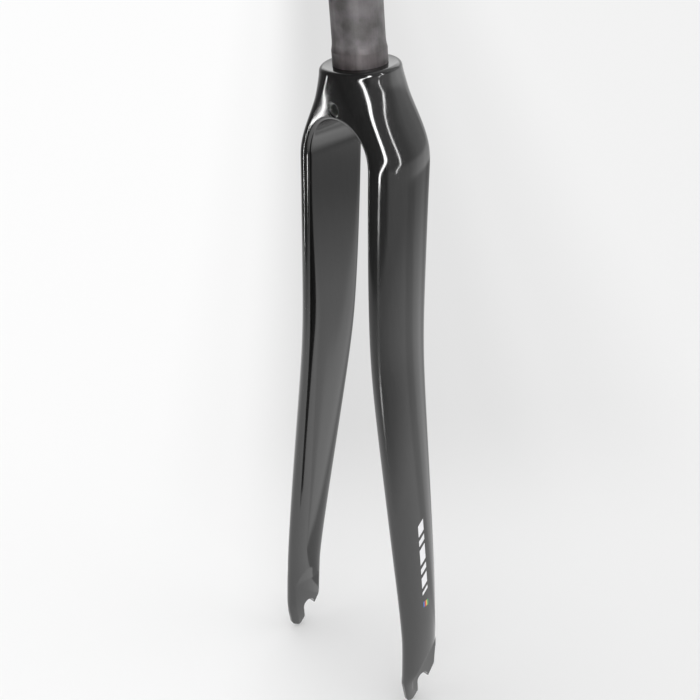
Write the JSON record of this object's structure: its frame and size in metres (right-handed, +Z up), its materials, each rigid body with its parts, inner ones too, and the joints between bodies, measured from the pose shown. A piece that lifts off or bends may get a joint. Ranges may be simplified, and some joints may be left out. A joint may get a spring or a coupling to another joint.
{
  "type": "bicycle fork",
  "caption": "Rigid carbon road fork with a straight steerer, a rounded crown bored for a rim brake, two splayed bladed legs and open flat dropouts for a quick-release hub",
  "frame": {"origin": "on the steering axis at the top of the crown, in the plane on which the lower headset race comes to rest", "axes": "+Z up the steering axis, -Y toward the front of the bicycle, +X toward the rider's left"},
  "size_m": [0.1192, 0.0702, 0.678],
  "materials": {
    "raw_carbon": "unpainted ground carbon tube, satin grey with faint fibre streaks",
    "gloss_black": "black clear-coated carbon moulding, high gloss",
    "sleeve_metal": "turned plain aluminium"
  },
  "bodies": {
    "root": {"steerer_tube": "raw_carbon", "crown_and_blades": "gloss_black", "brake_sleeve": "sleeve_metal"}
  },
  "joints": []
}
